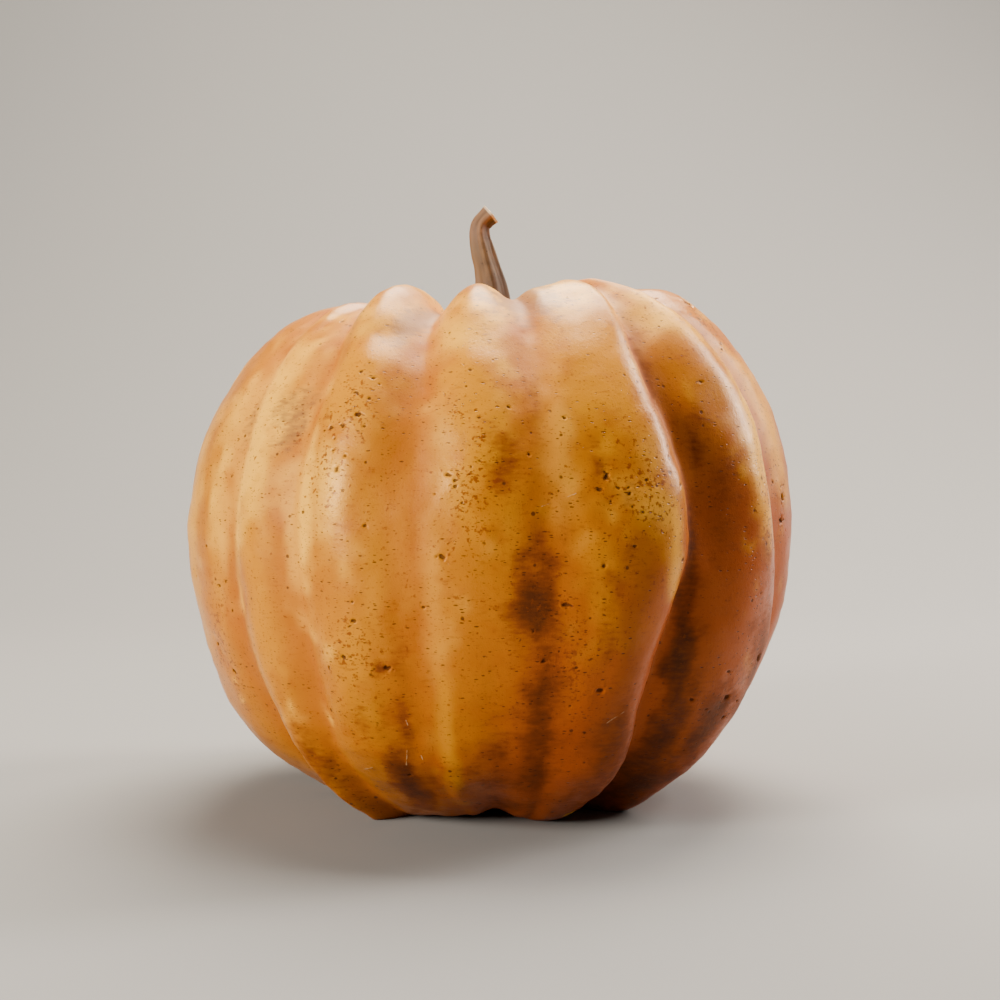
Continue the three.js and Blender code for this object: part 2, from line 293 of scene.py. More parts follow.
class FruitSettings(bpy.types.PropertyGroup):
    """Sizes of the fruit."""

    radius: bpy.props.FloatProperty(
        name="Radius",
        description="Radius of the crests at the widest height, before the furrows are cut",
        default=123 * MM,
        unit="LENGTH",
    )
    height: bpy.props.FloatProperty(
        name="Height",
        description="Height of the crests at the shoulder",
        default=205 * MM,
        unit="LENGTH",
    )
    seat_radius: bpy.props.FloatProperty(
        name="Seat radius",
        description="Radius of the flat spot in the top hollow that the stem grows from",
        default=15.5 * MM,
        unit="LENGTH",
    )
    seat_height: bpy.props.FloatProperty(
        name="Seat height",
        description="Height of that flat spot",
        default=186 * MM,
        unit="LENGTH",
    )
    rib_columns: bpy.props.IntProperty(
        name="Columns a rib",
        description="Mesh columns on each rib",
        default=24,
        min=6,
    )
    rows: bpy.props.IntProperty(
        name="Rows",
        description="Mesh rows from the blossom scar to the seat",
        default=168,
        min=20,
    )
    lumps: bpy.props.FloatProperty(
        name="Lumps",
        description="Height of the skin's soft unevenness",
        default=0.4 * MM,
        unit="LENGTH",
    )
    seed: bpy.props.IntProperty(
        name="Seed",
        description="Seed of the scattered pits and of the unevenness",
        default=14,
    )


class SkinColours(bpy.types.PropertyGroup):
    """Colours of the skin."""

    orange: bpy.props.FloatVectorProperty(
        name="Orange",
        description="Main colour of the ribs",
        default=(0.49, 0.16, 0.0),
        subtype="COLOR",
    )
    # Also laid on as painted shade towards the right and the foot and in the bottom of the furrows.
    deep_orange_and_shade: bpy.props.FloatVectorProperty(
        name="Deep orange",
        description="Colour towards the foot and on the shaded side",
        default=(0.36, 0.062, 0.001),
        subtype="COLOR",
    )
    yellow: bpy.props.FloatVectorProperty(
        name="Yellow",
        description="Colour of the clear yellow patches",
        default=(0.61, 0.235, 0.0),
        subtype="COLOR",
    )
    # Partly the pale bloom, partly painted highlight and sheen.
    peach: bpy.props.FloatVectorProperty(
        name="Peach",
        description="Colour of the pale bloom on the shoulders and crests",
        default=(1.0, 0.5, 0.04),
        subtype="COLOR",
    )
    # Also painted shade deep in some furrows.
    stain: bpy.props.FloatVectorProperty(
        name="Stain",
        description="Colour of the brown stains along the furrows",
        default=(0.06, 0.012, 0.004),
        subtype="COLOR",
    )
    smudge: bpy.props.FloatVectorProperty(
        name="Smudge",
        description="Colour of the greyish bruises",
        default=(0.2, 0.08, 0.035),
        subtype="COLOR",
    )
    russet: bpy.props.FloatVectorProperty(
        name="Russet",
        description="Colour of the soft edge of the stains and of the finest specks",
        default=(0.2, 0.035, 0.003),
        subtype="COLOR",
    )
    pit: bpy.props.FloatVectorProperty(
        name="Pit",
        description="Colour at the bottom of the pits and of the specks",
        default=(0.05, 0.013, 0.005),
        subtype="COLOR",
    )
    cork: bpy.props.FloatVectorProperty(
        name="Cork",
        description="Colour of the healed scratches and of the corky scars",
        default=(0.6, 0.36, 0.17),
        subtype="COLOR",
    )


class StemSettings(bpy.types.PropertyGroup):
    """Sizes and colours of the stem."""

    columns: bpy.props.IntProperty(
        name="Columns",
        description="Mesh columns round the stem",
        default=120,
        min=20,
    )
    rows: bpy.props.IntProperty(
        name="Rows",
        description="Mesh rows up the stem",
        default=150,
        min=20,
    )
    fibre_height: bpy.props.FloatProperty(
        name="Fibre height",
        description="Height of the dry fibres that run up the stem",
        default=0.03 * MM,
        unit="LENGTH",
    )
    bark: bpy.props.FloatVectorProperty(
        name="Bark",
        description="Main colour of the dry stem",
        default=(0.13, 0.066, 0.025),
        subtype="COLOR",
    )
    pale_bark: bpy.props.FloatVectorProperty(
        name="Pale bark",
        description="Colour of the stem's angles and dry fibres",
        default=(0.19, 0.115, 0.05),
        subtype="COLOR",
    )
    # Also painted shade between the stem's angles, low on its right and under the hook.
    dark_bark_and_shade: bpy.props.FloatVectorProperty(
        name="Dark bark",
        description="Colour between the stem's angles",
        default=(0.04, 0.019, 0.006),
        subtype="COLOR",
    )
    warm_bark: bpy.props.FloatVectorProperty(
        name="Warm bark",
        description="Colour of the bark round the bend",
        default=(0.24, 0.105, 0.042),
        subtype="COLOR",
    )
    cut: bpy.props.FloatVectorProperty(
        name="Cut",
        description="Colour of the cut end",
        default=(0.6, 0.45, 0.3),
        subtype="COLOR",
    )


class StageSettings(bpy.types.PropertyGroup):
    """The floor, the lights and the camera."""

    floor: bpy.props.FloatVectorProperty(
        name="Floor",
        description="Colour of the floor and of its sweep up behind",
        default=(0.26, 0.26, 0.26),
        subtype="COLOR",
    )
    key_light: bpy.props.FloatProperty(
        name="Key light",
        description="Power of the tall soft light at the left front",
        default=38,
        unit="POWER",
    )
    rim_light: bpy.props.FloatProperty(
        name="Rim light",
        description="Power of the soft light at the right, behind the fruit",
        default=27,
        unit="POWER",
    )
    top_light: bpy.props.FloatProperty(
        name="Top light",
        description="Power of the soft light above the fruit",
        default=35,
        unit="POWER",
    )
    back_light: bpy.props.FloatProperty(
        name="Back light",
        description="Power of the soft light behind the fruit, which edges its shoulders",
        default=27,
        unit="POWER",
    )
    surroundings: bpy.props.FloatProperty(
        name="Surroundings",
        description="Brightness of the plain surroundings",
        default=0.05,
    )
    camera_place: bpy.props.FloatVectorProperty(
        name="Camera place",
        description="Where the camera stands",
        default=(3.8 * MM, -755 * MM, 165 * MM),
        subtype="TRANSLATION",
        unit="LENGTH",
    )
    camera_pitch: bpy.props.FloatProperty(
        name="Camera pitch",
        description="How far the camera looks down",
        default=math.radians(3.5),
        subtype="ANGLE",
    )
    focal_length: bpy.props.FloatProperty(
        name="Focal length",
        description="Focal length on a sensor 36 mm wide",
        default=67.2,
        unit="CAMERA",
    )


def spline(points, share):
    """Points at the given shares, 0 to 1, of an even Catmull-Rom curve through all the points."""
    points = np.asarray(points, float)
    last = len(points) - 1
    place = np.clip(share, 0, 1) * last
    first = np.minimum(place.astype(int), last - 1)
    t = (place - first)[:, None]
    before, start, end, after = (points[np.clip(first + step, 0, last)] for step in (-1, 0, 1, 2))
    leave = (end - before) / 2
    arrive = (after - start) / 2
    cubic = (2 * start - 2 * end + leave + arrive) * t**3
    return cubic + (3 * end - 3 * start - 2 * leave - arrive) * t**2 + leave * t + start


def smoothstep(value, low, high):
    """0 below low, 1 above high, and a smooth rise between them."""
    share = np.clip((value - low) / (high - low), 0, 1)
    return share * share * (3 - 2 * share)


def mix(a, b, share):
    """From a at share 0 to b at share 1."""
    return a + (b - a) * share


def wrap_degrees(angle):
    """The same angle between -180 and 180."""
    return (angle + 180) % 360 - 180


def soft_noise(points, length, seed, waves=28):
    """Smooth noise between about -1 and 1 at 3-D points, with bumps about the given length across."""
    draw = random.Random(seed)
    total = np.zeros(len(points))
    for _ in range(waves):
        direction = np.array([draw.gauss(0, 1) for _ in range(3)])
        direction *= 2 * math.pi / length / np.linalg.norm(direction) * draw.uniform(0.5, 1.3)
        total += np.sin(points @ direction + draw.uniform(0, 2 * math.pi))
    return total / math.sqrt(waves)


def layered_noise(points, layers, seed):
    """Noise of several lengths added up. Each layer is a length and a share."""
    return sum(
        share * soft_noise(points, length, seed + step) for step, (length, share) in enumerate(layers)
    )


Line = namedtuple("Line", "radius z normal_out normal_up height up down fade")


def outline_at(along, fruit):
    """What the furrows need to know about each place along the crest outline, 0 to 1."""
    radius, height = fruit.radius / MM, fruit.height / MM
    seat = (fruit.seat_radius / MM, fruit.seat_height / MM)
    outline = [(out * radius, high * height) for out, high in CREST_OUTLINE] + [seat]
    fine = np.linspace(0, 1, OUTLINE_SAMPLES)
    steps = np.linalg.norm(np.diff(spline(outline, fine), axis=0), axis=1)
    length = np.concatenate(([0], np.cumsum(steps)))
    share = np.interp(along * length[-1], length, fine)
    point = spline(outline, share)
    nudge = 1e-4
    tangent = spline(outline, share + nudge) - spline(outline, share - nudge)
    tangent /= np.linalg.norm(tangent, axis=1)[:, None]
    out, z = point.T
    high = np.clip(z / height, 0, 1)
    in_top = (share > 0.5) & (out < TOP_HOLLOW_RADIUS)
    in_foot = (share < 0.5) & (out < FOOT_HOLLOW_RADIUS)
    return Line(
        radius=out,
        z=z,
        normal_out=tangent[:, 1],
        normal_up=-tangent[:, 0],
        height=high,
        up=np.where(in_top, 1, np.clip(2 * high - 1, 0, 1)) ** 2,
        down=np.where(in_foot, 1, np.clip(1 - 2 * high, 0, 1)) ** 2,
        fade=smoothstep(out, seat[0], seat[0] + FADE_WIDTH),
    )


def furrow_azimuth(index, line):
    """The azimuth of one furrow at each place. The index may run one past the last furrow."""
    furrow = FURROWS[index % len(FURROWS)]
    phase = (line.z - WAVER_SHIFT * (index % len(FURROWS))) / WAVER_LENGTH
    sway = furrow.sway * np.sin(2 * math.pi * phase) * (1 - line.up) * (1 - line.down)
    lap = 360 * (index // len(FURROWS))
    return furrow.at + furrow.turn_top * line.up**2 + furrow.turn_foot * line.down**2 + sway + lap


def by_height(line, middle, top, foot):
    """A value that has one figure at the widest height, one at the shoulder and one at the foot."""
    return middle * (1 - line.up) * (1 - line.down) + top * line.up + foot * line.down


def furrow_share(gap, furrow):
    """1 at the bottom of a furrow, falling to 0 up its two flanks."""
    reach = np.where(gap < 0, furrow.reach_left, furrow.reach_right)
    return np.exp(FURROW_ROUNDNESS - np.hypot(gap / reach, FURROW_ROUNDNESS))


def dent_depth(azimuth, line):
    """How deep the soft dents are at each place."""
    total = 0
    for at, out, height, radius, depth in DENTS:
        across = line.radius * np.radians(wrap_degrees(azimuth - at))
        distance = np.sqrt(across**2 + (line.radius - out) ** 2 + (line.z - height) ** 2) / radius
        total = total + depth * np.exp(-(distance**2))
    return total


def swelling_height(azimuth, line):
    """How far the broad swellings stand out at each place."""
    total = 0
    for around, upward, phase, height in SWELLINGS:
        angle = around * np.radians(azimuth) + upward * 2 * math.pi * line.height + phase
        total = total + height * np.sin(angle)
    return total


def skin_surface(turn, along, fruit):
    """Points of the smooth ribbed skin, and how deep in a furrow each is, from 0 to 1.

    turn counts ribs from the first one of the mesh, and along runs up the outline from 0 to 1.
    """
    line = outline_at(along, fruit)
    ribs = len(FURROWS)
    order = np.minimum(turn.astype(int), ribs - 1)
    rib = (order + FIRST_RIB) % ribs
    share = turn - order
    across = share - COLUMN_CROWDING * np.sin(2 * math.pi * share) / (2 * math.pi)
    edges = np.array([furrow_azimuth(index, line) for index in range(ribs + 1)])
    places = np.arange(len(turn))
    azimuth = mix(edges[rib, places], edges[rib + 1, places], across)
    depth = np.zeros(len(turn))
    sideways = np.zeros(len(turn))
    in_furrow = np.zeros(len(turn))
    for index, furrow in enumerate(FURROWS):
        near = furrow_share(wrap_degrees(azimuth - edges[index]), furrow)
        depth += near * by_height(line, furrow.depth, furrow.depth_top, furrow.depth_foot)
        sideways += near * furrow.tuck
        in_furrow = np.maximum(in_furrow, near)
    figures = np.array([(furrow.swell, furrow.lift, furrow.foot) for furrow in FURROWS])[rib]
    depth -= np.sin(math.pi * across) ** 2 * by_height(line, *figures.T)
    depth += dent_depth(azimuth, line) - swelling_height(azimuth, line)
    depth *= line.fade
    sideways *= line.fade

    radius = line.radius - line.normal_out * depth
    sine, cosine = np.sin(np.radians(azimuth)), np.cos(np.radians(azimuth))
    x = radius * sine + sideways * cosine
    y = sideways * sine - radius * cosine
    tilt = SHOULDER_TILT * x * line.height**SHOULDER_TILT_POWER * line.fade
    z = line.z - line.normal_up * depth + tilt
    return np.column_stack((x, y, np.maximum(z, 0))), in_furrow * line.fade


def all_pits(fruit):
    """All pits of the skin: the single ones, the clusters and the scattered ones."""
    draw = random.Random(fruit.seed)
    places = []
    for azimuth, height, wide, tall, count in PIT_CLUSTERS:
        for _ in range(count):
            turn = math.degrees(draw.gauss(0, wide) / (fruit.radius / MM))
            places.append((azimuth + turn, height + draw.gauss(0, tall)))
    for _ in range(SCATTERED_PITS):
        places.append((draw.uniform(-180, 180), draw.uniform(*SCATTER_HEIGHTS)))
    small = []
    for place in places:
        size = draw.uniform(*SMALL_PIT)
        small.append((*place, size * draw.uniform(*PIT_WIDTH), size, size * draw.uniform(*PIT_DEPTH)))
    return [*PITS, *small]


def place_on_skin(points, azimuth, height):
    """The index of the point of the outer skin that is nearest to an azimuth and a height."""
    around = np.radians(wrap_degrees(np.degrees(np.arctan2(points[:, 0], -points[:, 1])) - azimuth))
    out = np.hypot(points[:, 0], points[:, 1])
    distance = (around * out) ** 2 + (points[:, 2] - height) ** 2
    distance[out < TOP_HOLLOW_RADIUS] = np.inf
    return int(np.argmin(distance))


def scratch_ends(points):
    """The two ends of each healed scratch, on the skin."""
    for at, low, to, high in SCRATCHES:
        yield points[place_on_skin(points, at, low)], points[place_on_skin(points, to, high)]


def distance_to_line(points, start, end):
    """How far each point is from the straight line between two ends."""
    whole = end - start
    share = np.clip((points - start) @ whole / (whole @ whole), 0, 1)
    return np.linalg.norm(points - start - share[:, None] * whole, axis=1)


def skin_grid(fruit):
    """The skin's mesh laid out flat: x counts columns and y counts rows. It is finer round each pit."""
    columns = len(FURROWS) * fruit.rib_columns
    rows = fruit.rows
    across, up = np.meshgrid(np.arange(columns + 1), np.arange(rows + 1))
    turn = across.ravel() / fruit.rib_columns
    along = up.ravel() / rows
    points, _ = skin_surface(turn, along, fruit)
    grid = bmesh.new()
    corners = [grid.verts.new((x, y, 0)) for x, y in zip(across.ravel(), up.ravel())]
    faces = {}
    for row in range(rows):
        for column in range(columns):
            first = row * (columns + 1) + column
            around = (first, first + 1, first + columns + 2, first + columns + 1)
            faces[column, row] = grid.faces.new([corners[index] for index in around])

    centres = []
    fine = set()
    for azimuth, height, wide, tall, depth in all_pits(fruit):
        nearest = place_on_skin(points, azimuth, height)
        centre = points[nearest]
        centres.append((centre, wide, tall, depth))
        reach = PIT_REACH * max(wide, tall)
        close = np.flatnonzero(np.linalg.norm(points - centre, axis=1) < reach)
        fine.update(close.tolist())
        fine.add(nearest)
    for ends in scratch_ends(points):
        fine.update(np.flatnonzero(distance_to_line(points, *ends) < SCRATCH_REACH).tolist())
    edges = set()
    for index in fine:
        row, column = divmod(index, columns + 1)
        for key in ((column - 1, row - 1), (column, row - 1), (column - 1, row), (column, row)):
            if key in faces and 0 < key[0] < columns - 1:
                edges.update(faces[key].edges)
    grid.edges.index_update()
    in_order = sorted(edges, key=lambda edge: edge.index)
    bmesh.ops.subdivide_edges(grid, edges=in_order, cuts=REFINED_CUTS, use_grid_fill=True)
    return grid, centres


def hump(value, middle, width):
    """1 where the value is the middle one, falling to 0 on both sides."""
    return np.exp(-(((value - middle) / width) ** 2))


def pit_relief(points, centres):
    """How deep each point lies in the pits, in mm, and how dark it is there, from 0 to 1."""
    depth_here = np.zeros(len(points))
    dark = np.zeros(len(points))
    uneven = 1 + layered_noise(points, PIT_UNEVENNESS, PIT_SEED)
    rim_place, rim_width, rim_height = PIT_RIM
    for centre, wide, tall, depth in centres:
        near = np.flatnonzero(np.abs(points - centre).max(axis=1) < PIT_SPAN * max(wide, tall))
        gap = points[near] - centre
        level = np.hypot(gap[:, 0], gap[:, 1]) / wide
        distance = np.hypot(level, gap[:, 2] / tall) * uneven[near]
        bowl = np.exp(-(distance**PIT_WALL_POWER)) - rim_height * hump(distance, rim_place, rim_width)
        deeper = np.abs(bowl) * depth > np.abs(depth_here[near])
        depth_here[near[deeper]] = bowl[deeper] * depth
        dark[near] = np.maximum(dark[near], np.exp(-(distance**3) * PIT_DARK_FALL))
    return depth_here, dark


def patch_mask(points, patches, seed):
    """How strongly the listed patches cover each point, from 0 to 1, with wavering edges."""
    azimuth = np.degrees(np.arctan2(points[:, 0], -points[:, 1]))
    out = np.hypot(points[:, 0], points[:, 1])
    waver = 1 + layered_noise(points, PATCH_WAVER, seed)
    mask = np.zeros(len(points))
    for at, height, wide, tall, strength in patches:
        across = np.radians(wrap_degrees(azimuth - at)) * out / wide
        distance = np.hypot(across, (points[:, 2] - height) / tall) * waver
        mask = np.maximum(mask, strength * np.exp(-(distance**2) * PATCH_FALL))
    return mask


def scratch_mask(points):
    """1 on the healed scratches, falling to 0 beside them."""
    mask = np.zeros(len(points))
    for ends in scratch_ends(points):
        distance = distance_to_line(points, *ends)
        mask = np.maximum(mask, np.exp(-((distance / SCRATCH_WIDTH) ** 2)))
    return mask


def store(mesh, name, values):
    """Keeps one number a vertex under a name that the materials read."""
    mesh.attributes.new(name, "FLOAT", "POINT").data.foreach_set("value", values.astype(np.float32))


def mesh_arrays(mesh):
    """The places and normals of a mesh's vertices as arrays."""
    count = len(mesh.vertices)
    places = np.empty(count * 3)
    normals = np.empty(count * 3)
    mesh.vertices.foreach_get("co", places)
    mesh.vertices.foreach_get("normal", normals)
    return places.reshape(-1, 3), normals.reshape(-1, 3)


def show_piece(name, mesh, material, node):
    """Puts a finished mesh in the scene as the piece that stands for a node of the frame."""
    mesh.materials.append(material)
    mesh.shade_smooth()
    piece = bpy.data.objects.new(name, mesh)
    bpy.context.collection.objects.link(piece)
    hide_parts(node)
    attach(piece, "root")
    return piece


def node_middle(node):
    """The middle of a frame node's box, seen from above, in millimetres."""
    low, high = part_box(node)
    return np.array([(low.x + high.x) / 2, (low.y + high.y) / 2, 0]) / MM


def formula_shift(fruit):
    """How far the formula's fruit moves to stand where the frame's does, in millimetres."""
    columns = np.arange(0, len(FURROWS), 1 / CENTRING_COLUMNS)
    turn, along = np.meshgrid(columns, np.linspace(0, 1, CENTRING_ROWS + 1))
    points, _ = skin_surface(turn.ravel(), along.ravel(), fruit)
    middle = (points.min(axis=0) + points.max(axis=0)) / 2
    return node_middle("fruit") - middle * (1, 1, 0)


def seat_relief(points, fruit):
    """The corky lip round the foot of the stem: its height in mm, and how corky each point is."""
    out = np.hypot(points[:, 0] - STEM_STATIONS[0][0], points[:, 1] - STEM_STATIONS[0][1])
    azimuth = np.arctan2(points[:, 0], -points[:, 1])
    high = points[:, 2] > fruit.height / MM / 2
    (coarse, coarse_share), (fine, fine_share) = LIP_WRINKLES
    wrinkles = 1 + coarse_share * np.sin(coarse * azimuth) + fine_share * np.sin(fine * azimuth + 1)
    radius, width, height = STEM_LIP
    lip = height * hump(out, radius, width) * wrinkles
    return np.where(high, lip, 0), np.where(high, smoothstep(-out, -radius - LIP_CORK, -radius), 0)


def blossom_relief(points, fruit):
    """The blossom scar under the fruit: its height in mm, and how corky each point is."""
    out = np.hypot(points[:, 0], points[:, 1])
    azimuth = np.arctan2(points[:, 0], -points[:, 1])
    low = points[:, 2] < fruit.height / MM / 2
    radius, width, height = SCAR_RIM
    count, share = SCAR_WRINKLES
    rim = height * hump(out, radius, width) * (1 + share * np.sin(count * azimuth))
    middle, button_width, button_height = SCAR_BUTTON
    button = button_height * hump(out, middle, button_width)
    cork = smoothstep(-out, -radius - SCAR_CORK, -radius)
    return np.where(low, rim + button, 0), np.where(low, cork, 0)


def hollow_wrinkles(points, fruit):
    """Fine wrinkles that run out from the stem over the top hollow, in mm."""
    out = np.hypot(points[:, 0], points[:, 1])
    azimuth = np.arctan2(points[:, 0], -points[:, 1])
    swing = layered_noise(points, WRINKLE_SWING, WRINKLE_SEED)
    radius, width, strength = HOLLOW_WRINKLES
    reach = strength * hump(out, radius, width) * (points[:, 2] > fruit.height / MM / 2)
    (coarse, coarse_height), (fine, fine_height) = FINE_WRINKLES
    wrinkles = coarse_height * np.sin(coarse * (azimuth + swing))
    return reach * (wrinkles + fine_height * np.sin(fine * (azimuth - swing)))


def soft_unevenness(points, fruit):
    """How far the skin's soft lumps stand out, in mm. They fade at the axis and at the flat feet."""
    fade = smoothstep(np.hypot(points[:, 0], points[:, 1]), *LUMPS_FROM_AXIS)
    above = smoothstep(points[:, 2], *LUMPS_FROM_FLOOR)
    return layered_noise(points, LUMP_LAYERS, fruit.seed) * fruit.lumps / MM * fade * above


def skin_mesh(fruit):
    """The smooth ribbed skin as a closed mesh that keeps how deep in a furrow it is, and its pits."""
    grid, centres = skin_grid(fruit)
    laid = np.array([vertex.co[:2] for vertex in grid.verts])
    turn = laid[:, 0] / fruit.rib_columns
    points, in_furrow = skin_surface(turn, laid[:, 1] / fruit.rows, fruit)
    furrow_layer = grid.verts.layers.float.new("furrow")
    for vertex, point, near in zip(grid.verts, points, in_furrow):
        vertex.co = point
        vertex[furrow_layer] = near
    bmesh.ops.remove_doubles(grid, verts=grid.verts, dist=WELD_DISTANCE)
    rim = [edge for edge in grid.edges if edge.is_boundary]
    bmesh.ops.contextual_create(grid, geom=rim)
    bmesh.ops.recalc_face_normals(grid, faces=grid.faces)
    mesh = bpy.data.meshes.new("pumpkin_skin")
    grid.to_mesh(mesh)
    grid.free()
    return mesh, centres


def skin_marks(points, fruit):
    """The marks that colour the skin: how strong each is at each point, by name."""
    marks = {name: patch_mask(points, patches, seed) for name, (patches, seed) in PATCHES.items()}
    height = points[:, 2] / (fruit.height / MM)
    side = points[:, 0] / (fruit.radius / MM)
    # The deeper orange is partly the skin's own tone and partly painted shade on the right and low down.
    marks["deep"] = smoothstep(DEEP_SIDE * side - DEEP_HEIGHT * height, *DEEP_RANGE)
    return marks


class PUMPKIN_OT_make_fruit(bpy.types.Operator):
    """Builds the ribbed skin with its pits, dents and scars"""

    bl_idname = "pumpkin.make_fruit"
    bl_label = "Make Fruit"

    def execute(self, context):
        fruit = context.scene.pumpkin_fruit
        mesh, centres = skin_mesh(fruit)
        points, normals = mesh_arrays(mesh)
        pit_depth, pit_dark = pit_relief(points, centres)
        scratches = scratch_mask(points)
        lip, lip_cork = seat_relief(points, fruit)
        scar, scar_cork = blossom_relief(points, fruit)
        rise = soft_unevenness(points, fruit) + hollow_wrinkles(points, fruit)
        rise += SCRATCH_HEIGHT * scratches - pit_depth + lip + scar
        moved = points + normals * rise[:, None]
        moved[:, 2] = np.maximum(moved[:, 2], 0)
        mesh.vertices.foreach_set("co", ((moved + formula_shift(fruit)) * MM).ravel())

        store(mesh, "pit", pit_dark)
        for name, mark in skin_marks(points, fruit).items():
            store(mesh, name, mark)
        scars = np.maximum(lip_cork, scar_cork)
        store(mesh, "cork", np.maximum(scratches * SCRATCH_CORK, scars))
        material = skin_material(context.scene.pumpkin_colours)
        show_piece("pumpkin_skin", mesh, material, "fruit")
        return {"FINISHED"}


def stem_rings(stem):
    """Each ring of the stem: its place up the stem, its share of the radius and its rise past the cut."""
    rings = [(along, 1, 0) for along in np.linspace(0, 1, stem.rows)]
    return np.array(rings + [(1, share, rise) for share, rise in CUT_RINGS])


def stem_frame(along):
    """The stem's middle line at each place: point and radius, and the ways forward, right and back."""
    station = spline(STEM_STATIONS, along)
    nudge = 1e-3
    forward = spline(STEM_STATIONS, along + nudge)[:, :3] - spline(STEM_STATIONS, along - nudge)[:, :3]
    forward /= np.linalg.norm(forward, axis=1)[:, None]
    right = np.cross((0, 1, 0), forward)
    right /= np.linalg.norm(right, axis=1)[:, None]
    return station[:, :3], station[:, 3], forward, right, np.cross(forward, right)


StemPoints = namedtuple("StemPoints", "place along inward angle turned grain")


def stem_points(stem, seat):
    """The points of the stem ring by ring, in mm, with what its marks need to know about each.

    grain is the place on an untwisted stem, shortened so that noise on it makes long fibres.
    """
    rings = stem_rings(stem)
    along, inward, past = np.repeat(rings, stem.columns, axis=0).T
    angle = np.tile(np.linspace(0, 2 * math.pi, stem.columns, endpoint=False), len(rings))
    middle, width, forward, right, back = stem_frame(along)
    spread = (1 - along) ** STEM_ROOT_POWER
    turned = STEM_ANGLES * angle + STEM_TWIST * along
    ridge = (STEM_RIDGE + STEM_ROOT_RIDGE * spread) * np.cos(turned)
    second, third = STEM_FINE_RIDGES
    ridge += second * np.cos(2 * turned + 0.6) + third * np.cos(3 * turned + 5 * along)
    length = STEM_LENGTH * along / FIBRE_STRETCH
    grain = np.column_stack((width * np.cos(angle), width * np.sin(angle), length))
    fibres = layered_noise(grain, FIBRE_LAYERS, FIBRE_SEED)
    folds = soft_noise(grain * FOLD_STRETCH, FOLD_WIDTH, FOLD_SEED)
    rise = fibres * stem.fibre_height / MM + FOLD_HEIGHT * folds
    radius = (width * (1 + ridge) + rise) * inward
    place = middle + right * (radius * np.cos(angle))[:, None]
    place += back * (radius * np.sin(angle))[:, None]
    uneven = 1 + layered_noise(grain, CUT_UNEVENNESS, CUT_SEED)
    place += forward * (past * uneven)[:, None]
    foot = np.arange(len(along)) < stem.columns
    place[:, 2] = np.where(foot, seat, np.maximum(place[:, 2], seat))
    return StemPoints(place, along, inward, angle, turned, grain)


def stem_faces(rings, columns):
    """The faces between the rings of the stem, and one over each end."""
    faces = []
    for low in range(0, (rings - 1) * columns, columns):
        high = low + columns
        for column in range(columns):
            beside = (column + 1) % columns
            faces.append((low + column, low + beside, high + beside, high + column))
    foot = tuple(reversed(range(columns)))
    end = tuple(range((rings - 1) * columns, rings * columns))
    return [*faces, foot, end]


def stem_marks(points):
    """The marks that colour the stem: how strong each is at each point, by name."""
    in_cut = smoothstep(-points.inward, -1, -CUT_EDGE)
    pale_rim = smoothstep(points.along, PALE_RIM_START, PALE_RIM_FULL)
    full, gone = STEM_SHADE_LOW
    # Painted shade low on the stem's right side and under the hook.
    low_right = smoothstep(np.cos(points.angle + STEM_SHADE_TURN), 0, 0.9)
    low_right *= smoothstep(-points.along, -gone, -full)
    under_hook = smoothstep(np.cos(points.angle), 0.1, 0.8) * smoothstep(points.along, *STEM_SHADE_HOOK)
    return {
        # Painted shade between the stem's angles.
        "valley": np.clip(0.5 - 0.5 * np.cos(points.turned), 0, 1) * (points.inward == 1),
        "cut": np.maximum(in_cut, pale_rim),
        "weathered": np.maximum(low_right, under_hook),
        "up_stem": points.along,
    }


class PUMPKIN_OT_make_stem(bpy.types.Operator):
    """Builds the dry five-angled stem with its fibres and its slanting cut"""

    bl_idname = "pumpkin.make_stem"
    bl_label = "Make Stem"

    def execute(self, context):
        stem = context.scene.pumpkin_stem
        fruit = context.scene.pumpkin_fruit
        points = stem_points(stem, fruit.seat_height / MM)
        faces = stem_faces(len(points.place) // stem.columns, stem.columns)
        mesh = bpy.data.meshes.new("dry_stem")
        mesh.from_pydata(((points.place + formula_shift(fruit)) * MM).tolist(), [], faces)
        for name, mark in stem_marks(points).items():
            store(mesh, name, mark)
        grain = mesh.attributes.new("grain", "FLOAT_VECTOR", "POINT")
        grain.data.foreach_set("vector", (points.grain * MM).astype(np.float32).ravel())
        show_piece("dry_stem", mesh, stem_material(stem), "stem")
        return {"FINISHED"}


def feed(tree, socket, value):
    """Gives a node's socket a plain value or a link."""
    if isinstance(value, bpy.types.NodeSocket):
        tree.links.new(value, socket)
    else:
        socket.default_value = value


def add_node(tree, kind, inputs=None, **settings):
    """A new node. settings are its own values, and inputs gives sockets their values or links."""
    node = tree.nodes.new(kind)
    node.location = (180 * len(tree.nodes), 0)
    for name, value in settings.items():
        setattr(node, name, value)
    for socket, value in (inputs or {}).items():
        feed(tree, node.inputs[socket], value)
    return node


def reckon(tree, operation, *values):
    """A Math node's result."""
    return add_node(tree, "ShaderNodeMath", dict(enumerate(values)), operation=operation).outputs[0]


def ramp(tree, value, low, high, start=0.0, end=1.0):
    """A smooth rise from start to end as the value goes from low to high."""
    inputs = {"Value": value, "From Min": low, "From Max": high, "To Min": start, "To Max": end}
    return add_node(tree, "ShaderNodeMapRange", inputs, interpolation_type="SMOOTHSTEP").outputs[0]


def cover(tree, mask, under, over, strength=1):
    """One colour laid over another by a mask, which is weakened to the given strength."""
    if strength != 1:
        mask = reckon(tree, "MULTIPLY", mask, strength)
    node = add_node(tree, "ShaderNodeMix", {0: mask}, data_type="RGBA")
    for index, colour in ((6, under), (7, over)):
        linked = isinstance(colour, bpy.types.NodeSocket)
        feed(tree, node.inputs[index], colour if linked else (*colour, 1))
    return node.outputs[2]


def stored(tree, name):
    """The number that the mesh keeps under a name."""
    return add_node(tree, "ShaderNodeAttribute", attribute_name=name).outputs["Fac"]


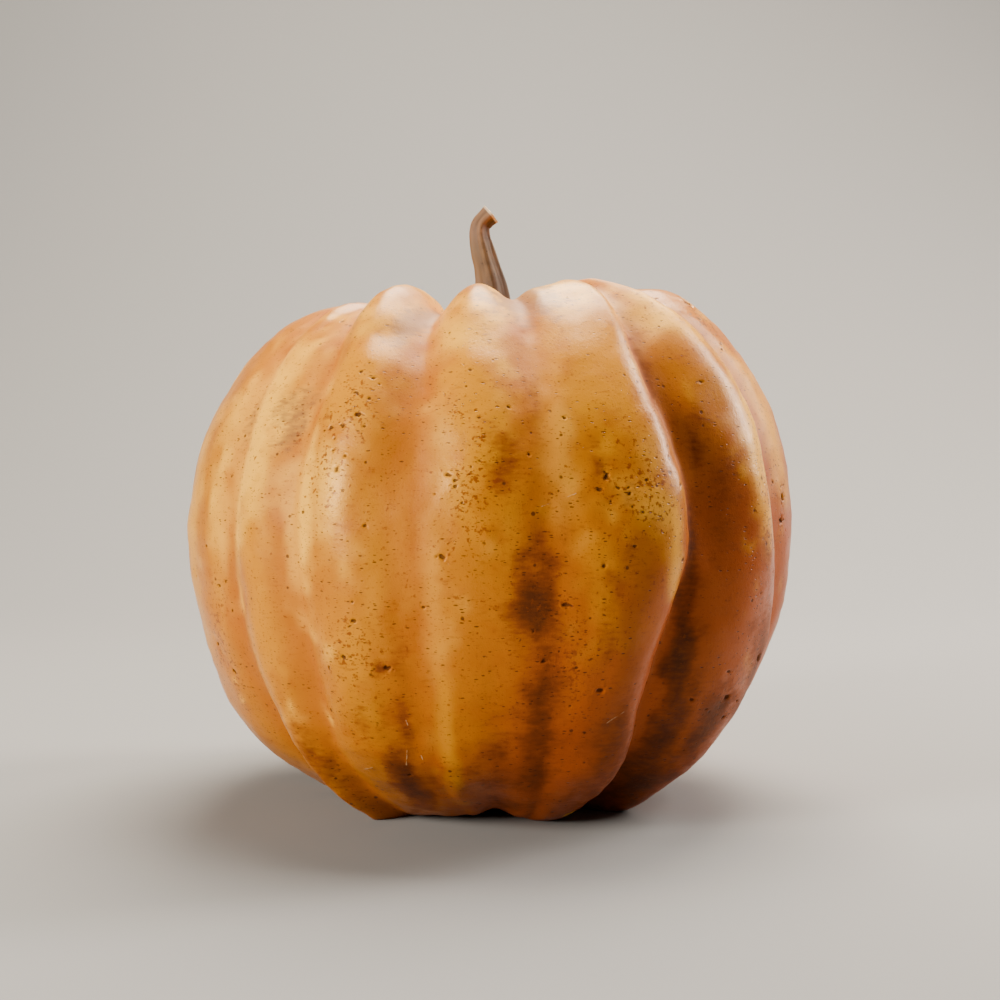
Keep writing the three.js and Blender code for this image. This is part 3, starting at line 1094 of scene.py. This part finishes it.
def new_group(name, numbers, outputs):
    """An empty node group with a Vector input, number inputs with defaults, and number outputs."""
    group = bpy.data.node_groups.new(name, "ShaderNodeTree")
    group.interface.new_socket("Vector", in_out="INPUT", socket_type="NodeSocketVector")
    for socket, default in numbers.items():
        made = group.interface.new_socket(socket, in_out="INPUT", socket_type="NodeSocketFloat")
        made.default_value = default
    for socket in outputs:
        group.interface.new_socket(socket, in_out="OUTPUT", socket_type="NodeSocketFloat")
    start = group.nodes.new("NodeGroupInput").outputs
    end = group.nodes.new("NodeGroupOutput").inputs
    return group, start, end


def mottle_group():
    """Soft uneven clouds, as one value between 0 and 1."""
    group, start, end = new_group("Mottle", {"Scale": 20, "Detail": 3, "Contrast": 1}, ["Value"])
    inputs = {name: start[name] for name in ("Vector", "Scale", "Detail")}
    clouds = add_node(group, "ShaderNodeTexNoise", inputs).outputs["Fac"]
    centred = reckon(group, "SUBTRACT", clouds, 0.5)
    scaled = reckon(group, "MULTIPLY_ADD", centred, start["Contrast"], 0.5)
    group.links.new(add_node(group, "ShaderNodeClamp", {"Value": scaled}).outputs[0], end["Value"])
    return group


def specks_group():
    """Small round specks strewn at random: a mask, 1 on a speck."""
    numbers = {"Scale": 300, "Size": 0.2, "Amount": 0.5}
    group, start, end = new_group("Specks", numbers, ["Mask"])
    wobble_inputs = {"Vector": start["Vector"], "Scale": start["Scale"], "Detail": 2}
    wobble = add_node(group, "ShaderNodeTexNoise", wobble_inputs).outputs["Fac"]
    inputs = {"Vector": start["Vector"], "Scale": start["Scale"]}
    cells = add_node(group, "ShaderNodeTexVoronoi", inputs)
    parts = add_node(group, "ShaderNodeSeparateColor", {"Color": cells.outputs["Color"]}).outputs
    chosen = reckon(group, "LESS_THAN", parts[0], start["Amount"])
    spread = reckon(group, "MULTIPLY_ADD", parts[1], 0.8, 0.3)
    size = reckon(group, "MULTIPLY", start["Size"], spread)
    wobbled = reckon(group, "MULTIPLY_ADD", wobble, 1.8, 0.1)
    uneven = reckon(group, "MULTIPLY", cells.outputs["Distance"], wobbled)
    inside = ramp(group, uneven, size, reckon(group, "MULTIPLY", size, 0.5))
    group.links.new(reckon(group, "MULTIPLY", inside, chosen), end["Mask"])
    return group


def stretched(tree, vector, scale):
    """The same vector with each of its parts scaled."""
    return add_node(tree, "ShaderNodeMapping", {"Vector": vector, "Scale": scale}).outputs["Vector"]


def use_group(tree, name, vector, **numbers):
    """Places a shared effect in a material and gives its only output."""
    makers = {"Mottle": mottle_group, "Specks": specks_group}
    group = bpy.data.node_groups.get(name) or makers[name]()
    node = add_node(tree, "ShaderNodeGroup", node_tree=group)
    for socket, value in {"Vector": vector, **numbers}.items():
        feed(tree, node.inputs[socket], value)
    return node.outputs[0]


def new_material(name):
    """A material with only its Principled shader and its output, and the shader itself."""
    material = bpy.data.materials.new(name)
    material.use_nodes = True
    return material, material.node_tree, material.node_tree.nodes["Principled BSDF"]


def stirred(tree, mask, noise, amount):
    """A mask raised and lowered by noise."""
    return reckon(tree, "MULTIPLY_ADD", reckon(tree, "SUBTRACT", noise, 0.5), amount, mask)


def ragged(tree, mask, noise, amount, low, high):
    """A mask with its edge broken up by noise."""
    return ramp(tree, stirred(tree, mask, noise, amount), low, high)


def add_bump(tree, shader, relief, strength, height):
    """Relief too fine for the mesh, up to the given height in mm."""
    inputs = {"Strength": strength, "Distance": height * MM, "Height": relief}
    bump = add_node(tree, "ShaderNodeBump", inputs)
    tree.links.new(bump.outputs["Normal"], shader.inputs["Normal"])


SkinNoise = namedtuple("SkinNoise", "clouds blots smears crumbs grain")


def skin_noise(tree, place, level):
    """The uneven clouds that break up the skin's marks, from the broadest to the finest."""
    return SkinNoise(
        clouds=use_group(tree, "Mottle", place, Scale=26, Detail=4, Contrast=1.6),
        blots=use_group(tree, "Mottle", place, Scale=90, Detail=6, Contrast=1.5),
        smears=use_group(tree, "Mottle", level, Scale=260, Detail=5, Contrast=1.8),
        crumbs=use_group(tree, "Mottle", place, Scale=620, Detail=4, Contrast=1.8),
        grain=use_group(tree, "Mottle", place, Scale=2200, Detail=3, Contrast=1.4),
    )


def skin_ground(tree, colours, noise):
    """Orange that deepens towards the foot and the right, partly its own tone and partly painted shade,
    with painted shade in the furrows, yellow patches, and pale patches that are partly bloom and partly
    painted highlight.
    """
    # Painted shade, partly the skin's own deeper tone: darker orange to the right and towards the foot.
    deep = ragged(tree, stored(tree, "deep"), noise.clouds, 0.5, 0.1, 0.9)
    colour = cover(tree, deep, colours.orange, colours.deep_orange_and_shade)
    # Pale patches: partly bloom, partly painted highlight.
    peach = ragged(tree, stored(tree, "peach"), noise.clouds, 0.4, 0.12, 1)
    colour = cover(tree, peach, colour, colours.peach, 0.9)
    yellow = ragged(tree, stored(tree, "yellow"), noise.clouds, 0.4, 0.15, 0.95)
    colour = cover(tree, yellow, colour, colours.yellow, 0.95)
    colour = cover(tree, ramp(tree, noise.blots, 0.5, 0.95, 0, 0.4), colour, colours.deep_orange_and_shade)
    colour = cover(tree, ramp(tree, noise.smears, 0.6, 1, 0, 0.35), colour, colours.russet)
    # Painted shade in the bottom of each furrow.
    crease_shade = ramp(tree, stored(tree, "furrow"), 0.6, 1, 0, 0.4)
    return cover(tree, crease_shade, colour, colours.deep_orange_and_shade)


def skin_stains(tree, colours, noise, colour):
    """The colour with greyish bruises and brown stains on it, some of them painted shade along the
    furrows, and how stained or shaded each place is.
    """
    smudge = ragged(tree, stored(tree, "smudge"), noise.smears, 0.7, 0.2, 1.1)
    colour = cover(tree, smudge, colour, colours.smudge, 0.7)
    # Brown stains, some of them painted shade along the furrows, with a russet edge and a dark core.
    stain = stirred(tree, stored(tree, "stain"), noise.blots, 0.45)
    stain = stirred(tree, stain, noise.smears, 0.35)
    colour = cover(tree, ramp(tree, stain, 0.1, 0.75, 0, 0.85), colour, colours.russet)
    colour = cover(tree, ramp(tree, stain, 0.45, 1.15, 0, 0.95), colour, colours.stain)
    return colour, stain


def skin_specks(tree, colours, noise, colour, place, level):
    """The colour with grit, dust and specks on it, and where the specks are."""
    speckled = stored(tree, "speckled")
    everywhere = ramp(tree, noise.clouds, 0.3, 0.8, 0.05, 0.4)
    crowd = reckon(tree, "MULTIPLY_ADD", speckled, 0.6, everywhere)
    fine_specks = use_group(tree, "Specks", level, Scale=430, Size=0.36, Amount=crowd)
    dots = use_group(tree, "Specks", place, Scale=210, Size=0.18, Amount=crowd)
    specks = reckon(tree, "MAXIMUM", fine_specks, dots)
    dust = use_group(tree, "Specks", level, Scale=700, Size=0.4, Amount=0.35)
    thicker = reckon(tree, "MULTIPLY_ADD", speckled, 0.22, reckon(tree, "MULTIPLY", noise.smears, 0.25))
    grit = ramp(tree, reckon(tree, "ADD", noise.crumbs, thicker), 0.86, 1.08, 0, 0.8)
    colour = cover(tree, grit, colour, colours.russet)
    colour = cover(tree, dust, colour, colours.russet, 0.6)
    return cover(tree, specks, colour, colours.stain, 0.85), specks


def skin_material(colours):
    """Satin orange skin with yellow patches, pale patches that are partly bloom and partly painted
    highlight, brown stains and painted shade along the furrows, pits and specks.
    """
    material, tree, shader = new_material("Pumpkin Skin")
    place = add_node(tree, "ShaderNodeTexCoord").outputs["Object"]
    level = stretched(tree, place, (1, 1, 2.8))
    noise = skin_noise(tree, place, level)
    colour = skin_ground(tree, colours, noise)
    colour, stain = skin_stains(tree, colours, noise, colour)
    colour, specks = skin_specks(tree, colours, noise, colour, place, level)
    pit = ragged(tree, stored(tree, "pit"), noise.crumbs, 0.6, 0.25, 0.8)
    colour = cover(tree, pit, colour, colours.pit, 0.85)
    cork = ragged(tree, stored(tree, "cork"), noise.crumbs, 0.7, 0.3, 0.8)
    colour = cover(tree, cork, colour, colours.cork, 0.8)
    tree.links.new(colour, shader.inputs["Base Color"])

    rough = ramp(tree, noise.blots, 0, 1, 0.27, 0.36)
    rough = reckon(tree, "ADD", ramp(tree, stain, 0.1, 0.6, 0, 0.2), rough)
    rough = reckon(tree, "ADD", ramp(tree, stored(tree, "furrow"), 0.35, 0.9, 0, 0.2), rough)
    rough = reckon(tree, "MULTIPLY_ADD", reckon(tree, "MAXIMUM", pit, cork), 0.35, rough)
    tree.links.new(rough, shader.inputs["Roughness"])
    shader.inputs["Specular IOR Level"].default_value = 0.4
    shader.inputs["Specular Tint"].default_value = SHEEN_COLOUR

    relief = reckon(tree, "MULTIPLY_ADD", specks, -0.45, reckon(tree, "MULTIPLY", noise.grain, 0.2))
    relief = reckon(tree, "MULTIPLY_ADD", noise.crumbs, 0.25, relief)
    add_bump(tree, shader, relief, 0.6, 0.3)
    return material


def stem_material(stem):
    """Dry tan bark with fibres along the stem, painted shade between its angles, low on its right and
    under the hook, and a pale cut end.
    """
    material, tree, shader = new_material("Dry Stem")
    grain = add_node(tree, "ShaderNodeAttribute", attribute_name="grain").outputs["Vector"]
    fibres = use_group(tree, "Mottle", grain, Scale=900, Detail=4, Contrast=1.2)
    streaks = use_group(tree, "Mottle", grain, Scale=140, Detail=5, Contrast=1.3)
    place = add_node(tree, "ShaderNodeTexCoord").outputs["Object"]
    blots = use_group(tree, "Mottle", place, Scale=160, Detail=4, Contrast=2)
    specks = use_group(tree, "Specks", place, Scale=600, Size=0.25, Amount=0.35)

    colour = cover(tree, streaks, stem.bark, stem.pale_bark)
    bend = ragged(tree, ramp(tree, stored(tree, "up_stem"), 0.4, 0.8), blots, 0.6, 0.3, 1)
    colour = cover(tree, bend, colour, stem.warm_bark, 0.75)
    # Painted shade between the stem's angles.
    valley = ragged(tree, stored(tree, "valley"), blots, 0.5, 0.3, 1.2)
    colour = cover(tree, valley, colour, stem.dark_bark_and_shade, 0.45)
    # Painted shade low on the stem's right and under the hook.
    weathered = ragged(tree, stored(tree, "weathered"), blots, 0.6, 0.15, 0.85)
    colour = cover(tree, weathered, colour, stem.dark_bark_and_shade, 0.8)
    colour = cover(tree, fibres, colour, stem.pale_bark, 0.12)
    colour = cover(tree, ramp(tree, blots, 0.6, 0.95, 0, 0.4), colour, stem.dark_bark_and_shade)
    colour = cover(tree, specks, colour, stem.dark_bark_and_shade, 0.6)
    cut_colour = cover(tree, ramp(tree, blots, 0.4, 0.9, 0, 0.5), stem.cut, stem.pale_bark)
    colour = cover(tree, stored(tree, "cut"), colour, cut_colour)
    tree.links.new(colour, shader.inputs["Base Color"])
    tree.links.new(ramp(tree, streaks, 0, 1, 0.55, 0.8), shader.inputs["Roughness"])
    add_bump(tree, shader, reckon(tree, "MULTIPLY_ADD", specks, -0.5, fibres), 0.4, 0.15)
    return material


def floor_material(colour):
    """Plain matte floor."""
    material, tree, shader = new_material("Pale Floor")
    place = add_node(tree, "ShaderNodeTexCoord").outputs["Object"]
    clouds = use_group(tree, "Mottle", place, Scale=3, Detail=2, Contrast=1)
    shade = cover(tree, clouds, [part * 0.97 for part in colour], colour)
    tree.links.new(shade, shader.inputs["Base Color"])
    shader.inputs["Roughness"].default_value = 0.9
    return material


def show_floor(colour):
    """A flat floor that sweeps up behind the fruit."""
    profile = [(-FLOOR_REACH, 0), (FLOOR_BEND_START, 0)]
    for angle in np.linspace(0, math.pi / 2, FLOOR_BEND_STEPS + 1)[1:]:
        out = FLOOR_BEND_START + FLOOR_BEND_RADIUS * math.sin(angle)
        profile.append((out, FLOOR_BEND_RADIUS * (1 - math.cos(angle))))
    corners = [(side, y, z) for y, z in profile for side in (-FLOOR_REACH, FLOOR_REACH)]
    faces = [(2 * n, 2 * n + 1, 2 * n + 3, 2 * n + 2) for n in range(len(profile) - 1)]
    mesh = bpy.data.meshes.new("floor")
    mesh.from_pydata(corners, [], faces)
    mesh.materials.append(floor_material(colour))
    mesh.shade_smooth()
    floor = bpy.data.objects.new("floor", mesh)
    bpy.context.collection.objects.link(floor)


def soft_light(name, place, size, power, colour):
    """A large rectangular light that faces the fruit."""
    data = bpy.data.lights.new(name, "AREA")
    data.shape = "RECTANGLE"
    data.size, data.size_y = size
    data.energy = power
    data.color = colour
    light = bpy.data.objects.new(name, data)
    bpy.context.collection.objects.link(light)
    light.location = place
    away = light.location - Vector(LIGHT_AIM)
    light.rotation_mode = "QUATERNION"
    light.rotation_quaternion = away.to_track_quat("Z", "Y")


def plain_surroundings(strength):
    """A plain white world of the given brightness."""
    world = bpy.data.worlds.new("studio")
    world.use_nodes = True
    background = world.node_tree.nodes["Background"]
    background.inputs["Color"].default_value = (1, 1, 1, 1)
    background.inputs["Strength"].default_value = strength
    return world


def place_camera(stage):
    """The camera, at the photograph's viewing angle."""
    data = bpy.data.cameras.new("camera")
    data.sensor_width = SENSOR_WIDTH
    data.lens = stage.focal_length
    camera = bpy.data.objects.new("camera", data)
    bpy.context.collection.objects.link(camera)
    camera.location = stage.camera_place
    camera.rotation_euler = (math.pi / 2 - stage.camera_pitch, 0, 0)
    return camera


class PUMPKIN_OT_make_stage(bpy.types.Operator):
    """Adds the pale floor, the soft lights and the camera"""

    bl_idname = "pumpkin.make_stage"
    bl_label = "Make Stage"

    def execute(self, context):
        stage = context.scene.pumpkin_stage
        show_floor(stage.floor)
        for name, (place, size, colour) in LIGHTS.items():
            soft_light(name, place, size, getattr(stage, name), colour)
        context.scene.world = plain_surroundings(stage.surroundings)
        context.scene.camera = place_camera(stage)
        return {"FINISHED"}


class PUMPKIN_PT_build(bpy.types.Panel):
    """Lists the pumpkin's pieces and their settings"""

    bl_label = "Ribbed Pumpkin"
    bl_idname = "PUMPKIN_PT_build"
    bl_space_type = "VIEW_3D"
    bl_region_type = "UI"
    bl_category = "Pumpkin"

    def draw(self, context):
        scene = context.scene
        for operator, settings in PANEL_ROWS:
            box = self.layout.box()
            box.operator(operator)
            for group in settings:
                values = getattr(scene, group)
                for name in values.__annotations__:
                    box.prop(values, name)


PANEL_ROWS = (
    ("pumpkin.make_stage", ("pumpkin_stage",)),
    ("pumpkin.make_fruit", ("pumpkin_fruit", "pumpkin_colours")),
    ("pumpkin.make_stem", ("pumpkin_stem",)),
)
SETTINGS = {
    "pumpkin_stage": StageSettings,
    "pumpkin_fruit": FruitSettings,
    "pumpkin_colours": SkinColours,
    "pumpkin_stem": StemSettings,
}
CLASSES = (
    *SETTINGS.values(),
    PUMPKIN_OT_make_stage,
    PUMPKIN_OT_make_fruit,
    PUMPKIN_OT_make_stem,
    PUMPKIN_PT_build,
)


def register():
    for item in CLASSES:
        bpy.utils.register_class(item)
    for name, settings in SETTINGS.items():
        setattr(bpy.types.Scene, name, bpy.props.PointerProperty(type=settings))


def unregister():
    for name in SETTINGS:
        delattr(bpy.types.Scene, name)
    for item in reversed(CLASSES):
        bpy.utils.unregister_class(item)


def main():
    """Builds everything in order."""
    register()
    bpy.ops.pumpkin.make_stage()
    bpy.ops.pumpkin.make_fruit()
    bpy.ops.pumpkin.make_stem()


if __name__ == "__main__":
    main()
